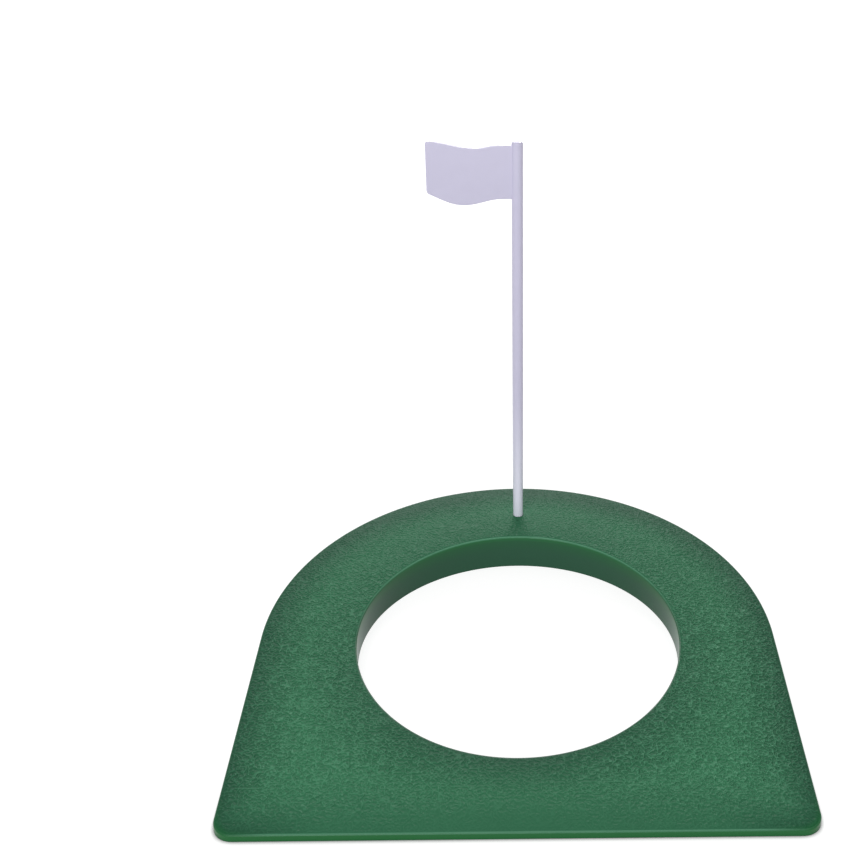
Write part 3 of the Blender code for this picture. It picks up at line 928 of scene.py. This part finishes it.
green, tree = new_material("polypropylene_green_grained")
place = add_node(tree, "ShaderNodeTexCoord").outputs["Object"]
share = add_node(tree, "ShaderNodeAttribute", attribute_name="grain").outputs["Fac"]
noise = add_node(tree, "ShaderNodeTexNoise", {"Vector": place, "Scale": 1 / WANDER_LENGTH, "Detail": 2.0})
level = (MIDDLE_LEVEL, MIDDLE_LEVEL, MIDDLE_LEVEL)
off = add_node(tree, "ShaderNodeVectorMath", {0: noise.outputs["Color"], 1: level}, operation="SUBTRACT")
nudge = add_node(tree, "ShaderNodeVectorMath", {0: off, "Scale": WANDER}, operation="SCALE")
bent = add_node(tree, "ShaderNodeVectorMath", {0: place, 1: nudge}, operation="ADD")
cell_size = {"Vector": bent, "Scale": 1 / GRAIN_CELL}
cells = add_node(tree, "ShaderNodeTexVoronoi", cell_size, feature="DISTANCE_TO_EDGE")
pebble_rise = {"Value": cells, "From Max": PEBBLE_ROUND}
pebble = add_node(tree, "ShaderNodeMapRange", pebble_rise, interpolation_type=SMOOTH)
crease = add_node(tree, "ShaderNodeTexNoise", {"Vector": place, "Scale": 1 / WRINKLE, "Detail": 0.0})
from_fold = add_node(tree, "ShaderNodeMath", {0: crease, 1: MIDDLE_LEVEL}, operation="SUBTRACT")
fold = add_node(tree, "ShaderNodeMath", {0: from_fold}, operation="ABSOLUTE")
wrinkle_fall = {"Value": fold, "From Max": WRINKLE_FALL, "To Min": 1.0, "To Max": 0.0}
wrinkle = add_node(tree, "ShaderNodeMapRange", wrinkle_fall, interpolation_type=SMOOTH)
weighed = {0: wrinkle, 1: WRINKLE_WEIGHT, 2: pebble}
rough_height = add_node(tree, "ShaderNodeMath", weighed, operation="MULTIPLY_ADD")
masked = add_node(tree, "ShaderNodeMath", {0: rough_height, 1: share}, operation="MULTIPLY")
bump = add_node(tree, "ShaderNodeBump", {"Height": masked, "Distance": GRAIN_DEPTH, "Strength": 1.0})
print("grain:", len(tree.nodes), "nodes, cell", GRAIN_CELL / MM, "mm")

# %% Colour of the green plastic
GREEN = "#3C7B58"
# the colour of the painted shade
GREEN_SHADE = "#28553E"
# the colour of the painted light through thin plastic
GREEN_THROUGH_LIGHT = "#1E6634"
# the colour of the painted highlights, on the crests and on the wrinkles
GREEN_HIGHLIGHT = "#5A9876"
# slow streaks, where the melt flowed, add up to this much to the share of painted shade
FLOW_LENGTH, FLOW = 28.0 * MM, 0.25
# painted shade in the grain's hollows, a little deeper in colour, and painted light on its heights, a
# little paler
HOLLOW, PEAK = 0.4, 2.0
HOLLOW_SHADE, PEAK_LIGHT = 0.08, -0.10
# painted highlight along the backs of the wrinkles, in place of glints
WRINKLE_HIGHLIGHT, WRINKLE_HIGHLIGHT_WIDTH = 0.55, 0.08

shade_share = add_node(tree, "ShaderNodeAttribute", attribute_name="painted_shade").outputs["Fac"]
through_light_share = add_node(tree, "ShaderNodeAttribute", attribute_name="painted_through_light").outputs["Fac"]
crest_share = add_node(tree, "ShaderNodeAttribute", attribute_name="crest").outputs["Fac"]
flow = add_node(tree, "ShaderNodeTexNoise", {"Vector": place, "Scale": 1 / FLOW_LENGTH, "Detail": 3.0})
# the share of painted shade, with the slow flow streaks added to it
streaks_and_shade = add_node(tree, "ShaderNodeMath", {0: flow, 1: FLOW, 2: shade_share}, operation="MULTIPLY_ADD")
# painted shade in the grain's hollows and painted light on its heights
hollow_shade_peak_light = add_node(
    tree,
    "ShaderNodeMapRange",
    {
        "Value": rough_height,
        "From Min": HOLLOW,
        "From Max": PEAK,
        "To Min": HOLLOW_SHADE,
        "To Max": PEAK_LIGHT,
    },
)
shaded = add_node(tree, "ShaderNodeMath", {0: hollow_shade_peak_light, 1: share, 2: streaks_and_shade}, operation="MULTIPLY_ADD")
# painted highlight on the backs of the wrinkles
highlight_fall = {"Value": fold, "From Max": WRINKLE_HIGHLIGHT_WIDTH, "To Min": WRINKLE_HIGHLIGHT, "To Max": 0.0}
wrinkle_highlight = add_node(tree, "ShaderNodeMapRange", highlight_fall, interpolation_type=SMOOTH)
wrinkle_highlight_share = add_node(tree, "ShaderNodeMath", {0: wrinkle_highlight, 1: share}, operation="MULTIPLY")
colour = linear(GREEN)
# layers over the plastic's own green: painted shade, painted highlight on the wrinkles, painted light
# through thin plastic and painted highlight on the crests
for factor, other in (
    (shaded, GREEN_SHADE),
    (wrinkle_highlight_share, GREEN_HIGHLIGHT),
    (through_light_share, GREEN_THROUGH_LIGHT),
    (crest_share, GREEN_HIGHLIGHT),
):
    layers = {"Factor": factor, "A": colour, "B": linear(other)}
    colour = add_node(tree, "ShaderNodeMix", layers, data_type="RGBA")
print("colour:", len(tree.nodes), "nodes so far")

# %% Shine of the green plastic
POLYPROPYLENE_IOR = 1.49
# plain steel leaves a smoother and shinier skin; it counts as grained from this share of grain on
GRAINED = 0.1
PLAIN_ROUGH, GRAIN_ROUGH = 0.30, 0.35
PLAIN_SHINE = 0.19
# shine of the grain where it is faint, up to this share of grain, and where it is full
FAINT, FAINT_SHINE, FULL_SHINE = 0.2, 0.036, 0.050

roughening = {"Value": share, "From Max": GRAINED, "To Min": PLAIN_ROUGH, "To Max": GRAIN_ROUGH}
gloss = add_node(tree, "ShaderNodeMapRange", roughening)
dulling = {"Value": share, "From Max": GRAINED, "To Min": PLAIN_SHINE, "To Max": 0.0}
plain_shine = add_node(tree, "ShaderNodeMapRange", dulling)
glinting = {"Value": share, "From Min": FAINT, "To Min": FAINT_SHINE, "To Max": FULL_SHINE}
grain_shine = add_node(tree, "ShaderNodeMapRange", glinting)
shine = add_node(tree, "ShaderNodeMath", {0: plain_shine, 1: grain_shine}, operation="MAXIMUM")
plastic = add_node(
    tree,
    "ShaderNodeBsdfPrincipled",
    {
        "Base Color": colour,
        "Roughness": gloss,
        "IOR": POLYPROPYLENE_IOR,
        "Specular IOR Level": shine,
        "Normal": bump,
    },
)
add_node(tree, "ShaderNodeOutputMaterial", {"Surface": plastic})
ramp_shell.data.materials.append(green)
underside_ribs.data.materials.append(green)
print("green plastic:", len(tree.nodes), "nodes")

# %% [markdown]
# ## White polypropylene from a polished tool
# The flagstick is white plastic with a cool, slightly violet cast and a satin skin. It is plain,
# so the little that the eye gets is a very soft unevenness: faint flow marks in the colour and
# the shallow ripple that thin walls take up as they cool. The lower part of the pole is painted
# a little paler, as painted light.

# %% White plastic
WHITE = "#D6D2EA"
WHITE_DEEP = "#D1CDE5"
WHITE_FOOT_LIGHT = "#F0F0FF"
FOOT_LIGHT_UP_TO, FOOT_LIGHT_END = 16.0 * MM, 72.0 * MM
RIPPLE, RIPPLE_HEIGHT = 6.0 * MM, 0.10 * MM
# the fine unevenness of the satin skin, and its height as a share of the ripple's
SATIN, SATIN_HEIGHT = 0.5 * MM, 0.02
SATIN_SMOOTH, SATIN_ROUGH = 0.30, 0.42

white_plastic, tree = new_material("polypropylene_white_satin")
place = add_node(tree, "ShaderNodeTexCoord").outputs["Object"]
ripple = add_node(tree, "ShaderNodeTexNoise", {"Vector": place, "Scale": 1 / RIPPLE, "Detail": 2.0})
satin = add_node(tree, "ShaderNodeTexNoise", {"Vector": place, "Scale": 1 / SATIN, "Detail": 2.0})
wave = add_node(tree, "ShaderNodeMath", {0: satin, 1: SATIN_HEIGHT, 2: ripple}, operation="MULTIPLY_ADD")
bump = add_node(tree, "ShaderNodeBump", {"Height": wave, "Distance": RIPPLE_HEIGHT, "Strength": 1.0})
streaks = {"Factor": ripple, "A": linear(WHITE_DEEP), "B": linear(WHITE)}
colour = add_node(tree, "ShaderNodeMix", streaks, data_type="RGBA")
up = add_node(tree, "ShaderNodeSeparateXYZ", {0: place}).outputs["Z"]
# painted light: the pole is painted paler towards its foot
foot = add_node(
    tree,
    "ShaderNodeMapRange",
    {"Value": up, "From Min": FOOT_LIGHT_UP_TO, "From Max": FOOT_LIGHT_END, "To Min": 1.0, "To Max": 0.0},
    interpolation_type=SMOOTH,
)
foot_lighting = {"Factor": foot, "A": colour, "B": linear(WHITE_FOOT_LIGHT)}
foot_lit = add_node(tree, "ShaderNodeMix", foot_lighting, data_type="RGBA")
roughening = {"Value": satin, "To Min": SATIN_SMOOTH, "To Max": SATIN_ROUGH}
gloss = add_node(tree, "ShaderNodeMapRange", roughening)
finish = {"Base Color": foot_lit, "Roughness": gloss, "IOR": POLYPROPYLENE_IOR, "Normal": bump}
plastic = add_node(tree, "ShaderNodeBsdfPrincipled", finish)
add_node(tree, "ShaderNodeOutputMaterial", {"Surface": plastic})
flagstick_piece.data.materials.append(white_plastic)
print("white plastic:", len(tree.nodes), "nodes")

# %% [markdown]
# ## Give the pieces to the bodies
# The ramp and its ribs stay on the floor; the flagstick lifts out of its socket on a slide.

# %% Ride and replace
for piece, body, node, slot in (
    (ramp_shell, "ramp", "ramp_base", "green_plastic"),
    (underside_ribs, "ramp", "ramp_base", "green_plastic"),
    (flagstick_piece, "flagstick", "flagstick", "white_plastic"),
):
    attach(piece, body)
    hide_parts(node)
